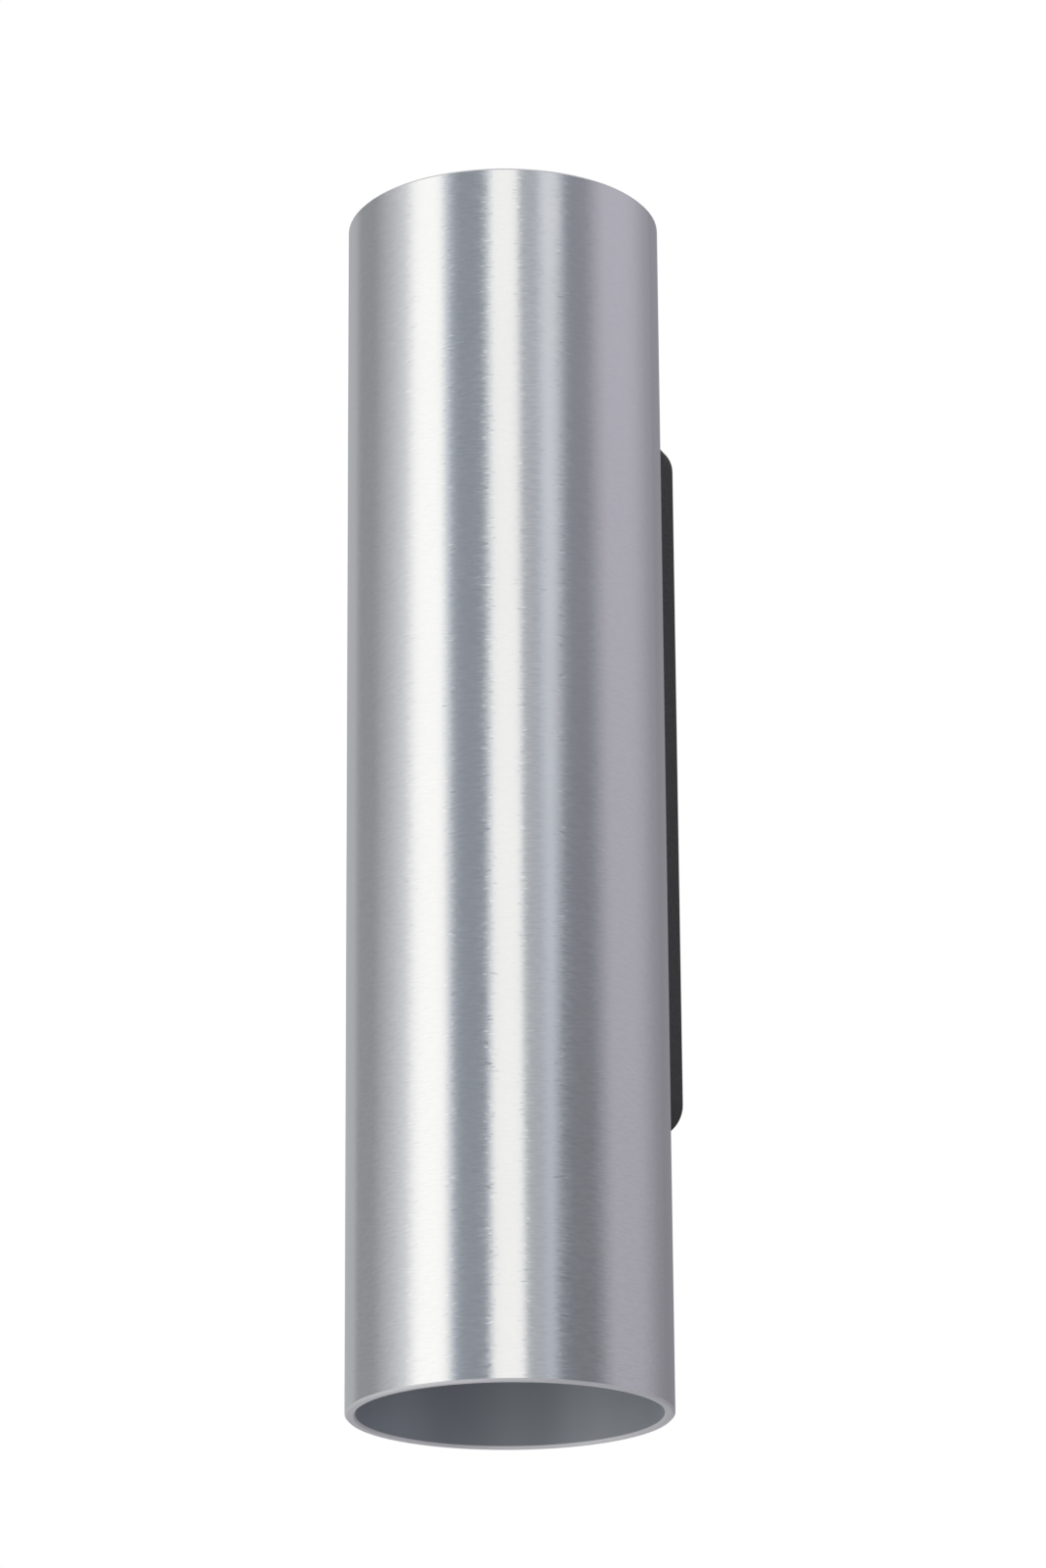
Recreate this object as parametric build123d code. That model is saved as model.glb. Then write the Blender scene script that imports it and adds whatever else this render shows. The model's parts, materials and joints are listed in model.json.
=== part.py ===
from build123d import *
import os
from math import sqrt

# Up-and-down tube wall light. All sizes are in millimetres.
# The origin is on the wall, at the middle of the back box. +Z is up, +Y points into the wall,
# and the light faces -Y.

# ---------------------------------------------------------------- driving sizes

# Outer tube
tube_diameter = 64.0
tube_wall = 2.0
tube_length = 250.0
tube_drop = 17.0  # middle of the tube below the middle of the back box
tube_standoff = 16.0  # wall to the back of the tube
rim_chamfer = 0.4

# Back box
box_width = 40.0
box_height = 152.0
box_wall = 2.0
box_corner = 6.5
box_front_edge = 1.0
saddle_depth = 4.0  # how far the tube sits into the front of the box
saddle_clearance = 0.05

# Wall bracket
strip_thickness = 1.5
strip_side_gap = 4.0  # bracket to each side wall of the box
strip_bend = 1.5  # inner radius of a bend
ear_width = 18.0
ear_clearance = 0.3
ear_tip_clearance = 0.6
ear_corner = 3.0
ear_collar_radius = 3.6
ear_collar_height = 1.5
wall_hole_spacing = 120.0
wall_slot_length = 12.0
wall_slot_width = 4.8

# Fasteners
fit_gap = 0.05  # between a fastener or insert and the piece that holds it
box_screw_radius = 2.0
box_screw_head_radius = 3.8
box_screw_head_height = 2.3
box_screw_length = 8.0
tube_screw_radius = 2.0
tube_screw_head_radius = 3.8
tube_screw_head_height = 2.4
tube_screw_play = 0.25  # round the screw in the box, the tube and the carrier
tube_washer_radius = 4.2
tube_washer_thickness = 0.8
screw_boss_radius = 4.6
screw_boss_rise = 0.9  # boss face above the crown of the inner saddle
holder_screw_radius = 1.5
holder_screw_head_radius = 2.75
holder_screw_head_height = 2.0
holder_screw_play = 0.15
screw_overrun = 0.6  # screw past its nut
screw_recess = 0.25  # width of the cross recess, as a share of the head's radius
nut_across_flats = 5.5
nut_height = 2.4

# Cable entry
entry_hole_radius = 7.0
entry_bore_radius = 5.0
entry_flange_radius = 8.6
entry_flange_thickness = 1.5

# Lead grommet
grommet_neck_radius = 5.5
grommet_bore_radius = 4.0
grommet_flange_radius = 7.5
grommet_flange_thickness = 1.5

# Lamp carrier
carrier_height = 63.4
carrier_width = 26.0
carrier_thickness = 1.5
carrier_bend = 1.5
carrier_window_gap = 1.0  # round the lip of the lead grommet
carrier_slot_length = 14.0
carrier_slot_width = 6.0
clinch_nut_radius = 4.0
clinch_nut_height = 3.2
clinch_nut_margin = 2.7  # from the bend of the carrier

# Lamp holders
holder_radius = 13.5
holder_height = 18.0
holder_flat_width = 22.0  # across the flats below the top disc
holder_disc_height = 6.0
holder_edge = 0.8
holder_screw_offset = 9.0
holder_sink_radius = 3.1
holder_sink_depth = 3.0
holder_plate = 4.2  # above the pin heads
chamber_depth = 7.5
chamber_width = 6.4
seat_gap = 0.3  # lamp base above the holder

# Two-pin lamps
lamp_height = 47.0
lamp_face_radius = 24.9
lamp_face_band = 6.0  # height of the rim round the lens
lamp_edge = 0.8
lamp_base_radius = 13.0
lamp_base_height = 11.3
lamp_base_chamfer = 1.5
lamp_waist_radius = 18.0
lamp_waist_height = 26.3
lamp_fins = 20
lamp_groove_width = 2.4
lamp_groove_depth = 4.4  # groove floor from the face radius, at the wide end of the flare
lamp_groove_inset = 1.0  # groove floor inside the base radius, at the narrow end
lamp_groove_margin = 2.5  # short of the rim and of the base
pin_offset = 5.0
pin_radius = 1.5
pin_head_radius = 2.4
pin_length = 7.0
pin_head_height = 2.0
pin_slot_gap = 0.35
lamp_twist = 20.0  # degrees from locked to released
lens_radius = 22.6
lens_thickness = 2.0
lens_recess = 0.5
lens_ledge = 1.4
lens_gap = 0.1
lens_cone_gap = 0.6  # between the lens's cone and the wall of its well
lens_foot_gap = 0.5  # above the board
lens_pocket_gap = 0.8  # round the chips
lens_pocket_depth = 6.0
lens_crown_height = 2.0  # the top of the pocket bulges down towards the chips
lens_crown_radius = 16.0
reflector_depth = 13.5
board_radius = 10.0
board_gap = 1.0
board_thickness = 1.6
chip_size = 2.8
chip_height = 0.7
chip_circle_radius = 5.6
chip_count = 6

# Spring contacts
contact_thickness = 0.5
contact_width = 3.4
contact_length = 4.4
contact_gap = 0.25

# Terminal block
pole_pitch = 8.2
pole_count = 3
block_centre_z = 34.0
block_width = 16.0
block_height = 10.0
block_corner = 1.0
tower_offset = 4.4
tower_rise = 1.4
mouth_radius = 2.5
insert_length = 12.0
insert_side = 4.8
insert_bore_radius = 1.6
insert_corner = 0.6
terminal_screw_radius = 1.3
terminal_screw_slot = 0.5
terminal_screw_play = 0.5  # round the screw in its tower
tower_wall = 1.4
block_screw_radius = 1.25
block_screw_head_radius = 2.3
block_screw_head_height = 1.4
block_screw_seat = 0.4  # head seat above the inserts

# Leads
lead_radius = 0.85
lead_offset = 2.1  # sideways and upwards in the lead grommet
pair_offset = 1.0  # of the two leads that share a terminal
lead_clearance = 0.55  # between a lead and the side of the box
block_clearance = 2.15  # between a lead and the side of the terminal block
lead_bend = 4.0
lead_slant = 10.0  # a lamp lead heads for the grommet over this length
lead_slant_rise = 9.0
earth_crossing = 2.1  # how far the earth lead passes in front of the others
earth_rise = 14.0  # it leans back to its terminal over this height
terminal_gap = 0.3  # lead's end to the insert

# Earth points
earth_screw_radius = 2.0
earth_head_radius = 3.5
earth_head_height = 2.2
earth_tag_radius = 3.8
earth_tag_thickness = 0.8
earth_barrel_wall = 0.5
earth_barrel_length = 3.2
earth_grip = 2.2  # length of lead held in the barrel
earth_point_gap = 0.7  # between the earth tag and the lower clinch nut
bracket_earth_z = -30.0
earth_washer_radius = 4.5
earth_washer_thickness = 0.8

# ---------------------------------------------------------------- derived sizes

tube_radius = tube_diameter / 2
bore_radius = tube_radius - tube_wall
axis_to_wall = tube_radius + tube_standoff
axis_y = -axis_to_wall
tube_middle = -tube_drop
tube_bottom = tube_middle - tube_length / 2

saddle_radius = tube_radius + saddle_clearance
inner_saddle_radius = saddle_radius + box_wall
box_depth = axis_to_wall - saddle_radius + saddle_depth
saddle_crown_y = axis_y + inner_saddle_radius
boss_face_y = saddle_crown_y + screw_boss_rise
washer_face_y = boss_face_y + tube_washer_thickness
tube_screw_hole_radius = tube_screw_radius + tube_screw_play
holder_screw_hole_radius = holder_screw_radius + holder_screw_play

strip_width = box_width - 2 * (box_wall + strip_side_gap)
ear_outer_z = box_height / 2 - box_wall - ear_clearance
ear_reach = -saddle_crown_y - ear_tip_clearance
box_screw_y = -(box_depth - box_wall) / 2
bracket_face_y = -strip_thickness

web_back_y = axis_y + sqrt(bore_radius**2 - (carrier_width / 2) ** 2) - fit_gap
web_front_y = web_back_y - carrier_thickness
carrier_half_height = carrier_height / 2
lamp_seat = carrier_half_height + holder_height + seat_gap  # lamp base from the middle of the tube
nut_offset = carrier_half_height - carrier_thickness - carrier_bend - clinch_nut_margin - clinch_nut_radius
tube_screw_heights = [tube_middle - nut_offset, tube_middle + nut_offset]
earth_point_drop = nut_offset - clinch_nut_radius - earth_tag_radius - earth_point_gap
lens_seat = lamp_height - lens_recess - lens_thickness
board_face = lens_seat - reflector_depth
well_radius = board_radius + board_gap
well_mouth_radius = lens_radius - lens_ledge

block_back_y = bracket_face_y
block_front_y = block_back_y - block_height
channel_y = (block_back_y + block_front_y) / 2
block_seat_y = channel_y - insert_side / 2 - block_screw_seat
pole_heights = [block_centre_z + (i - 1) * pole_pitch for i in range(pole_count)]
tower_radius = terminal_screw_radius + terminal_screw_play + tower_wall

inner_lane = block_width / 2 + block_clearance + lead_radius  # a rising lead, from the middle
outer_lane = box_width / 2 - box_wall - lead_clearance - lead_radius
lane_pitch = (outer_lane - inner_lane) / 2


# ---------------------------------------------------------------- small helpers


def y_cylinder(radius, y_from, y_to, x=0.0, z=0.0):
    """A cylinder along Y, from y_from up to y_to."""
    start = Plane(origin=(x, y_from, z), x_dir=(1, 0, 0), z_dir=(0, 1, 0))
    return extrude(start * Circle(radius), y_to - y_from)


def z_cylinder(radius, z_from, z_to, x=0.0, y=0.0):
    """A cylinder along Z, from z_from up to z_to."""
    return Pos(x, y, z_from) * extrude(Circle(radius), z_to - z_from)


def pan_screw(radius, length, head_radius, head_height):
    """A pan-head screw along +Z: the shank reaches down from z = 0, and the head stands above it."""
    head = extrude(Circle(head_radius), head_height)
    head = chamfer(head.edges().filter_by(GeomType.CIRCLE).sort_by(Axis.Z)[-1], head_height / 3)
    slot = Pos(0, 0, head_height) * Box(head_radius, head_radius * screw_recess, head_height)
    shank = Pos(0, 0, -length) * extrude(Circle(radius), length)
    return head + shank - slot - Rot(0, 0, 90) * slot


def facing(direction, x, y, z):
    """Places a piece made along +Z so that its +Z points in the given direction."""
    return Location(Plane(origin=(x, y, z), z_dir=direction))


def group(solids):
    """Several separate solids in one node."""
    return Compound(children=list(solids))


def bent_strip(points, bend, thickness, width):
    """A strip bent along points (y, z), with its width along X."""
    profile = trace(FilletPolyline(*points, radius=bend + thickness / 2), thickness)
    return extrude(Plane.YZ * profile, width / 2, both=True)


def bean(radius, width, start, sweep):
    """A slot of the given width that follows an arc about the origin."""
    return SlotArc(CenterArc((0, 0), radius, start, sweep), width)


# ---------------------------------------------------------------- tube and back box


def make_outer_tube():
    tube = extrude(Circle(tube_radius) - Circle(bore_radius), tube_length)
    tube = chamfer(tube.edges().filter_by(GeomType.CIRCLE), rim_chamfer)
    tube = Pos(0, axis_y, tube_bottom) * tube
    for z in tube_screw_heights:
        tube -= y_cylinder(tube_screw_hole_radius, axis_y, 0, z=z)
    return tube - y_cylinder(grommet_neck_radius + fit_gap, axis_y, 0, z=tube_middle)


def make_back_box():
    box = extrude(Plane.XZ * RectangleRounded(box_width, box_height, box_corner), box_depth)
    box = fillet(box.faces().sort_by(Axis.Y)[0].edges(), box_front_edge)
    inside = RectangleRounded(
        box_width - 2 * box_wall, box_height - 2 * box_wall, box_corner - box_wall
    )
    hollow = extrude(Plane.XZ * inside, box_depth - box_wall)
    half = box_height
    hollow -= z_cylinder(inner_saddle_radius, -half, half, y=axis_y)
    box -= hollow
    for z in tube_screw_heights:
        box += y_cylinder(screw_boss_radius, saddle_crown_y - box_wall / 2, boss_face_y, z=z)
    box -= z_cylinder(saddle_radius, -half, half, y=axis_y)
    for z in tube_screw_heights:
        box -= y_cylinder(tube_screw_hole_radius, -box_depth - 1, 0, z=z)
    box -= y_cylinder(grommet_neck_radius + fit_gap, -box_depth - 1, 0, z=tube_middle)
    return box - z_cylinder(box_screw_radius + 2 * fit_gap, -half, half, y=box_screw_y)


def make_lead_grommet():
    """A rubber bush whose two lips follow the curves of the tube and of the box's inner saddle."""
    inner_lip = bore_radius - grommet_flange_thickness
    outer_lip = inner_saddle_radius + grommet_flange_thickness
    reach = grommet_flange_radius * 2
    shell = z_cylinder(outer_lip, -reach, reach) - z_cylinder(inner_lip, -reach, reach)
    walls = z_cylinder(inner_saddle_radius + fit_gap, -reach, reach)
    walls -= z_cylinder(bore_radius - fit_gap, -reach, reach)
    walls -= y_cylinder(grommet_neck_radius, 0, outer_lip)
    bush = y_cylinder(grommet_flange_radius, 0, outer_lip) & shell
    bush = bush - walls - y_cylinder(grommet_bore_radius, 0, outer_lip)
    return Pos(0, axis_y, tube_middle) * bush


# ---------------------------------------------------------------- wall bracket


def make_wall_bracket():
    fold_z = ear_outer_z - strip_thickness / 2
    flat_y = -strip_thickness / 2
    points = [(-ear_reach, fold_z), (flat_y, fold_z), (flat_y, -fold_z), (-ear_reach, -fold_z)]
    strip = bent_strip(points, strip_bend, strip_thickness, strip_width)
    ear_plan = Pos(0, -ear_reach / 2) * RectangleRounded(ear_width, ear_reach, ear_corner)
    ear_plan += Pos(0, -(strip_thickness + strip_bend) / 2) * Rectangle(
        strip_width, strip_thickness + strip_bend
    )
    strip &= Pos(0, 0, -box_height / 2) * extrude(ear_plan, box_height)
    ear_inner_z = ear_outer_z - strip_thickness
    for z in (-ear_inner_z, ear_inner_z - ear_collar_height):
        strip += z_cylinder(ear_collar_radius, z, z + ear_collar_height, y=box_screw_y)
    strip -= z_cylinder(box_screw_radius + fit_gap, -box_height, box_height, y=box_screw_y)
    slot = extrude(Plane.XZ * SlotOverall(wall_slot_length, wall_slot_width, rotation=90), ear_reach)
    for side in (-1, 1):
        strip -= Pos(0, 0, side * wall_hole_spacing / 2) * slot
    strip -= y_cylinder(entry_hole_radius + fit_gap, -ear_reach, 0)
    strip -= y_cylinder(earth_screw_radius + fit_gap, -ear_reach, 0, z=bracket_earth_z)
    for z in block_screw_heights():
        strip -= y_cylinder(block_screw_radius + fit_gap, -ear_reach, 0, z=z)
    return strip


def make_box_fixing_screws():
    screw = pan_screw(box_screw_radius, box_screw_length, box_screw_head_radius, box_screw_head_height)
    top = facing((0, 0, 1), 0, box_screw_y, box_height / 2) * screw
    bottom = facing((0, 0, -1), 0, box_screw_y, -box_height / 2) * screw
    return group([top, bottom])


def make_cable_entry_grommet():
    flange = y_cylinder(entry_flange_radius, bracket_face_y - entry_flange_thickness, bracket_face_y)
    flange = fillet(flange.edges().sort_by(Axis.Y)[0], entry_flange_thickness * 0.6)
    neck = y_cylinder(entry_hole_radius, bracket_face_y, 0)
    return flange + neck - y_cylinder(entry_bore_radius, -ear_reach, 0)


def make_bracket_earth_washer():
    front = bracket_face_y - earth_washer_thickness
    washer = y_cylinder(earth_washer_radius, front, bracket_face_y, z=bracket_earth_z)
    return washer - y_cylinder(earth_screw_radius + fit_gap, front, 0, z=bracket_earth_z)


def make_bracket_earth_screw():
    head_y = bracket_face_y - earth_washer_thickness
    screw = pan_screw(earth_screw_radius, -head_y - fit_gap, earth_head_radius, earth_head_height)
    return facing((0, -1, 0), 0, head_y, bracket_earth_z) * screw


# ---------------------------------------------------------------- terminal block


def block_screw_heights():
    """The two bridges between neighbouring poles."""
    return [z + pole_pitch / 2 for z in pole_heights[:-1]]


def tower_places():
    """Each pole has a screw on either side of the middle."""
    return [(side * tower_offset, z) for z in pole_heights for side in (-1, 1)]


def make_terminal_block():
    length = pole_pitch * pole_count
    middle = Plane.XZ.offset(-block_back_y) * Pos(0, block_centre_z)
    block = extrude(middle * Rectangle(block_width, length), block_height)
    block = fillet(block.edges().filter_by(Axis.Y), block_corner)
    for x, z in tower_places():
        block += y_cylinder(tower_radius, block_front_y - tower_rise, channel_y, x=x, z=z)
    for z in block_screw_heights():
        block -= y_cylinder(block_screw_head_radius + 4 * fit_gap, -axis_to_wall, block_seat_y, z=z)
        block -= y_cylinder(block_screw_radius + fit_gap, -axis_to_wall, 0, z=z)
    channel = Plane.YZ * Circle(mouth_radius)
    pocket = Box(insert_length + 2 * fit_gap, insert_side + 2 * fit_gap, insert_side + 2 * fit_gap)
    for z in pole_heights:
        block -= Pos(0, channel_y, z) * extrude(channel, block_width, both=True)
        block -= Pos(0, channel_y, z) * pocket
    for x, z in tower_places():
        block -= y_cylinder(tower_radius - tower_wall, -axis_to_wall, channel_y, x=x, z=z)
    return block


def make_terminal_inserts():
    barrel = Box(insert_length, insert_side, insert_side)
    barrel = fillet(barrel.edges().filter_by(Axis.X), insert_corner)
    barrel -= extrude(Plane.YZ * Circle(insert_bore_radius), insert_length, both=True)
    for side in (-1, 1):
        barrel -= y_cylinder(terminal_screw_radius + fit_gap, -insert_side, 0, x=side * tower_offset)
    return group(Pos(0, channel_y, z) * barrel for z in pole_heights)


def make_terminal_screws():
    length = block_height / 2 - insert_bore_radius / 2
    screw = Pos(0, 0, -length) * extrude(Circle(terminal_screw_radius), length)
    screw -= Box(2 * terminal_screw_radius, terminal_screw_slot, 2 * terminal_screw_slot)
    return group(facing((0, -1, 0), x, block_front_y, z) * screw for x, z in tower_places())


def make_terminal_block_screws():
    length = -block_seat_y - fit_gap
    screw = pan_screw(
        block_screw_radius, length, block_screw_head_radius, block_screw_head_height
    )
    return group(facing((0, -1, 0), 0, block_seat_y, z) * screw for z in block_screw_heights())


# ---------------------------------------------------------------- tube fixings and lamp carrier


def make_tube_fixing_washers():
    ring = y_cylinder(tube_washer_radius, boss_face_y, washer_face_y)
    ring -= y_cylinder(tube_screw_radius + fit_gap, -axis_to_wall, 0)
    return group(Pos(0, 0, z) * ring for z in tube_screw_heights)


def make_tube_fixing_screws():
    nut_front_y = web_front_y - clinch_nut_height
    length = washer_face_y - nut_front_y + screw_overrun
    screw = pan_screw(tube_screw_radius, length, tube_screw_head_radius, tube_screw_head_height)
    return group(facing((0, 1, 0), 0, washer_face_y, z) * screw for z in tube_screw_heights)


def make_carrier_nuts():
    nut = y_cylinder(clinch_nut_radius, web_front_y - clinch_nut_height, web_front_y)
    nut = chamfer(nut.edges().sort_by(Axis.Y)[0], clinch_nut_height / 8)
    nut -= y_cylinder(tube_screw_radius + fit_gap, -axis_to_wall * 2, 0)
    return group(Pos(0, 0, z) * nut for z in tube_screw_heights)


def make_lamp_carrier():
    """A strip bent to a channel: its web lies against the bore, and each flange carries a holder."""
    fold = carrier_half_height - carrier_thickness / 2
    web_y = (web_back_y + web_front_y) / 2
    tip_y = axis_y - carrier_width / 2
    points = [(tip_y, fold), (web_y, fold), (web_y, -fold), (tip_y, -fold)]
    strip = bent_strip(points, carrier_bend, carrier_thickness, carrier_width)
    plan = Pos(0, axis_y) * Circle(carrier_width / 2)
    plan += Pos(0, axis_y / 2) * Rectangle(carrier_width, axis_to_wall)
    strip &= Pos(0, 0, -carrier_half_height) * extrude(plan, 2 * carrier_half_height)
    strip -= y_cylinder(grommet_flange_radius + carrier_window_gap, axis_y, 0)
    strip -= y_cylinder(earth_screw_radius + fit_gap, axis_y, 0, z=-earth_point_drop)
    for side in (-1, 1):
        strip -= y_cylinder(tube_screw_hole_radius, axis_y, 0, z=side * nut_offset)
        strip -= z_cylinder(
            holder_screw_hole_radius,
            -tube_length,
            tube_length,
            y=axis_y + side * holder_screw_offset,
        )
    slot = SlotOverall(carrier_slot_length, carrier_slot_width)
    strip -= Pos(0, axis_y, 0) * extrude(slot, carrier_half_height, both=True)
    return Pos(0, 0, tube_middle) * strip


def make_earth_tag():
    """A ring tag under the earth screw, with a barrel that grips the earth lead."""
    z = tube_middle - earth_point_drop
    back = web_front_y
    front = back - earth_tag_thickness
    barrel_z = z + earth_tag_radius
    barrel_top = barrel_z + earth_barrel_length
    barrel_y = earth_lead_y()
    tag = y_cylinder(earth_tag_radius, front, back, z=z)
    tongue = Box(2 * lead_radius, earth_tag_thickness, 2 * earth_barrel_wall)
    tag += Pos(0, (front + back) / 2, barrel_z) * tongue
    tag += z_cylinder(lead_radius + earth_barrel_wall, barrel_z, barrel_top, y=barrel_y)
    tag -= y_cylinder(earth_screw_radius + fit_gap, axis_y, 0, z=z)
    tag -= z_cylinder(lead_radius + fit_gap, barrel_top - earth_grip, barrel_top, y=barrel_y)
    return tag


def earth_lead_y():
    """The crimped barrel stands out from the front of the carrier, in line with its tag."""
    return web_front_y - lead_radius - earth_barrel_wall


def make_earth_tag_screw():
    seat_y = web_front_y - earth_tag_thickness
    length = earth_tag_thickness + carrier_thickness + screw_overrun
    screw = pan_screw(earth_screw_radius, length, earth_head_radius, earth_head_height)
    return facing((0, -1, 0), 0, seat_y, tube_middle - earth_point_drop) * screw


# ---------------------------------------------------------------- lamp holders and lamps
# Each is made on its own axis, with z = 0 at the base of the lamp and +Z out of the tube.


def placed(shape, side):
    """Puts a lamp-end piece in the tube: side 1 faces up, side -1 faces down."""
    turn = Rot(0, 0, 0) if side > 0 else Rot(180, 0, 0)
    return Pos(0, axis_y, tube_middle + side * lamp_seat) * turn * shape


def holder_screw_places():
    return [(0, -holder_screw_offset), (0, holder_screw_offset)]


def make_lampholder():
    """A ceramic body with two keyhole slots over the chambers that the pin heads turn in."""
    top = -seat_gap
    body = z_cylinder(holder_radius, top - holder_height, top)
    flats = Pos(0, 0, top - holder_disc_height) * extrude(
        Rectangle(2 * holder_radius, 2 * holder_radius)
        - Rectangle(holder_flat_width, 2 * holder_radius),
        -holder_height,
    )
    body -= flats
    body = fillet(body.edges().filter_by(GeomType.CIRCLE).sort_by(Axis.Z)[-1], holder_edge)
    plate_under = top - holder_plate
    for turn in (0, 180):
        neck = bean(pin_offset, 2 * (pin_radius + pin_slot_gap), 0, lamp_twist)
        body -= Rot(0, 0, turn) * Pos(0, 0, plate_under) * extrude(neck, holder_plate)
        entry_turn = Rot(0, 0, turn + lamp_twist)
        entry = z_cylinder(pin_head_radius + pin_slot_gap, plate_under, top, x=pin_offset)
        body -= entry_turn * entry
        chamber = bean(pin_offset, chamber_width, 0, lamp_twist)
        floor = plate_under - chamber_depth
        body -= Rot(0, 0, turn) * Pos(0, 0, floor) * extrude(chamber, chamber_depth)
        lead_hole = z_cylinder(lead_radius + 4 * fit_gap, top - holder_height, floor, x=pin_offset)
        body -= Rot(0, 0, turn) * lead_hole
    for x, y in holder_screw_places():
        body -= z_cylinder(holder_screw_hole_radius, top - holder_height, top, x=x, y=y)
        body -= z_cylinder(holder_sink_radius, top - holder_sink_depth, top, x=x, y=y)
    return body


def make_contact():
    """A folded leaf: its foot lies on the chamber floor and its blade stands under the pin head."""
    half = contact_thickness / 2
    floor = -seat_gap - holder_plate - chamber_depth + half + fit_gap
    blade = -pin_length - contact_gap - half
    reach = contact_length / 2
    points = [(reach, floor), (-reach, floor), (-reach, blade), (reach, blade)]
    return bent_strip(points, contact_thickness, contact_thickness, contact_width)


def make_contacts(side):
    contact = Pos(pin_offset, 0, 0) * make_contact()
    return group(placed(Rot(0, 0, turn) * contact, side) for turn in (0, 180))


def make_lampholder_screws():
    seat = -seat_gap - holder_sink_depth
    length = holder_height - holder_sink_depth + carrier_thickness + nut_height + screw_overrun
    screw = pan_screw(
        holder_screw_radius, length, holder_screw_head_radius, holder_screw_head_height
    )
    return group(
        placed(Pos(x, y, seat) * screw, side) for side in (1, -1) for x, y in holder_screw_places()
    )


def make_lampholder_nuts():
    nut = extrude(RegularPolygon(nut_across_flats / 2, 6, major_radius=False), nut_height)
    nut -= extrude(Circle(holder_screw_radius + fit_gap), nut_height)
    seat = -seat_gap - holder_height - carrier_thickness - nut_height
    return group(
        placed(Pos(x, y, seat) * nut, side) for side in (1, -1) for x, y in holder_screw_places()
    )


def make_lamp_body():
    """A spot lamp: a plain base, a flare with cooling fins, and a rim round the lens."""
    rim_start = lamp_height - lamp_face_band
    recess_radius = lens_radius + lens_gap
    floor = board_face - board_thickness
    foot = lamp_base_radius - lamp_base_chamfer
    profile = Polyline(
        (0, 0),
        (foot, 0),
        (lamp_base_radius, lamp_base_chamfer),
        (lamp_base_radius, lamp_base_height),
        (lamp_waist_radius, lamp_waist_height),
        (lamp_face_radius, rim_start),
        (lamp_face_radius, lamp_height - lamp_edge),
        (lamp_face_radius - lamp_edge, lamp_height),
        (recess_radius, lamp_height),
        (recess_radius, lens_seat),
        (well_mouth_radius, lens_seat),
        (well_radius, board_face),
        (well_radius, floor),
        (0, floor),
        close=True,
    )
    body = revolve(Plane.XZ * make_face(profile), Axis.Z)
    groove_foot = lamp_base_height + lamp_groove_margin
    groove_top = rim_start - lamp_groove_margin
    clear_radius = lamp_face_radius + lamp_groove_depth
    outline = Polyline(
        (lamp_base_radius - lamp_groove_inset, groove_foot),
        (lamp_face_radius - lamp_groove_depth, groove_top),
        (clear_radius, groove_top),
        (clear_radius, groove_foot),
        close=True,
    )
    groove = extrude(Plane.XZ * make_face(outline), lamp_groove_width / 2, both=True)
    return body - [Rot(0, 0, i * 360 / lamp_fins) * groove for i in range(lamp_fins)]


def make_lamp_lens():
    """A clear moulding: the front disc, and a cone behind it with a pocket over the chips."""
    back = lens_seat + fit_gap
    front = back + lens_thickness
    foot = board_face + lens_foot_gap
    profile = Polyline(
        (0, foot),
        (well_radius - lens_cone_gap, foot),
        (well_mouth_radius - lens_cone_gap, back),
        (lens_radius, back),
        (lens_radius, front - lens_recess),
        (lens_radius - lens_recess, front),
        (0, front),
        close=True,
    )
    lens = revolve(Plane.XZ * make_face(profile), Axis.Z)
    pocket_radius = chip_circle_radius + chip_size / sqrt(2) + lens_pocket_gap
    pocket_top = foot + lens_pocket_depth
    crown_middle = pocket_top - lens_crown_height + lens_crown_radius
    pocket = z_cylinder(pocket_radius, foot, pocket_top)
    return lens - (pocket - Pos(0, 0, crown_middle) * Sphere(lens_crown_radius))


def make_lamp_board():
    """The light source: a round board with a ring of chips and one in the middle."""
    floor = board_face - board_thickness + fit_gap
    board = Pos(0, 0, floor) * extrude(Circle(board_radius), board_thickness)
    chip = Pos(0, 0, floor + board_thickness + chip_height / 2) * Box(chip_size, chip_size, chip_height)
    for i in range(chip_count):
        board += Rot(0, 0, i * 360 / chip_count) * Pos(chip_circle_radius, 0, 0) * chip
    return board + chip


def make_lamp_pins():
    """Two pins with mushroom heads, which hold the lamp once they are turned under the plate."""
    neck = Pos(0, 0, -pin_length) * extrude(Circle(pin_radius), pin_length)
    head = Pos(0, 0, -pin_length) * extrude(Circle(pin_head_radius), pin_head_height)
    head = chamfer(head.edges().filter_by(GeomType.CIRCLE), pin_head_height / 6)
    return [Pos(side * pin_offset, 0, 0) * (neck + head) for side in (-1, 1)]


# ---------------------------------------------------------------- leads


def lead(points, bends):
    """A round lead along straight runs joined by arcs."""
    path = FilletPolyline(*points, radius=bends)
    start = Plane(origin=path @ 0, z_dir=path % 0)
    return sweep(start * Circle(lead_radius), path)


def lamp_lead(side, across, lane_y, entry_z):
    """From a spring contact, through the grommet and up beside the block, into its terminal."""
    top = lamp_seat - seat_gap - holder_plate - chamber_depth - 4 * fit_gap
    x = across * pin_offset
    lane = -(inner_lane if side > 0 else inner_lane + lane_pitch)
    z_pass = tube_middle + side * lead_offset
    points = [
        (x, axis_y, tube_middle + side * top),
        (x, axis_y, z_pass + side * lead_slant_rise),
        (across * lead_offset, axis_y + lead_slant, z_pass),
        (across * lead_offset, lane_y, z_pass),
        (lane, lane_y, z_pass),
        (lane, lane_y, entry_z),
        (-insert_length / 2 - terminal_gap, lane_y, entry_z),
    ]
    return lead(points, [2 * lead_bend, 2 * lead_bend, lead_bend, lead_bend, lead_bend])


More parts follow.
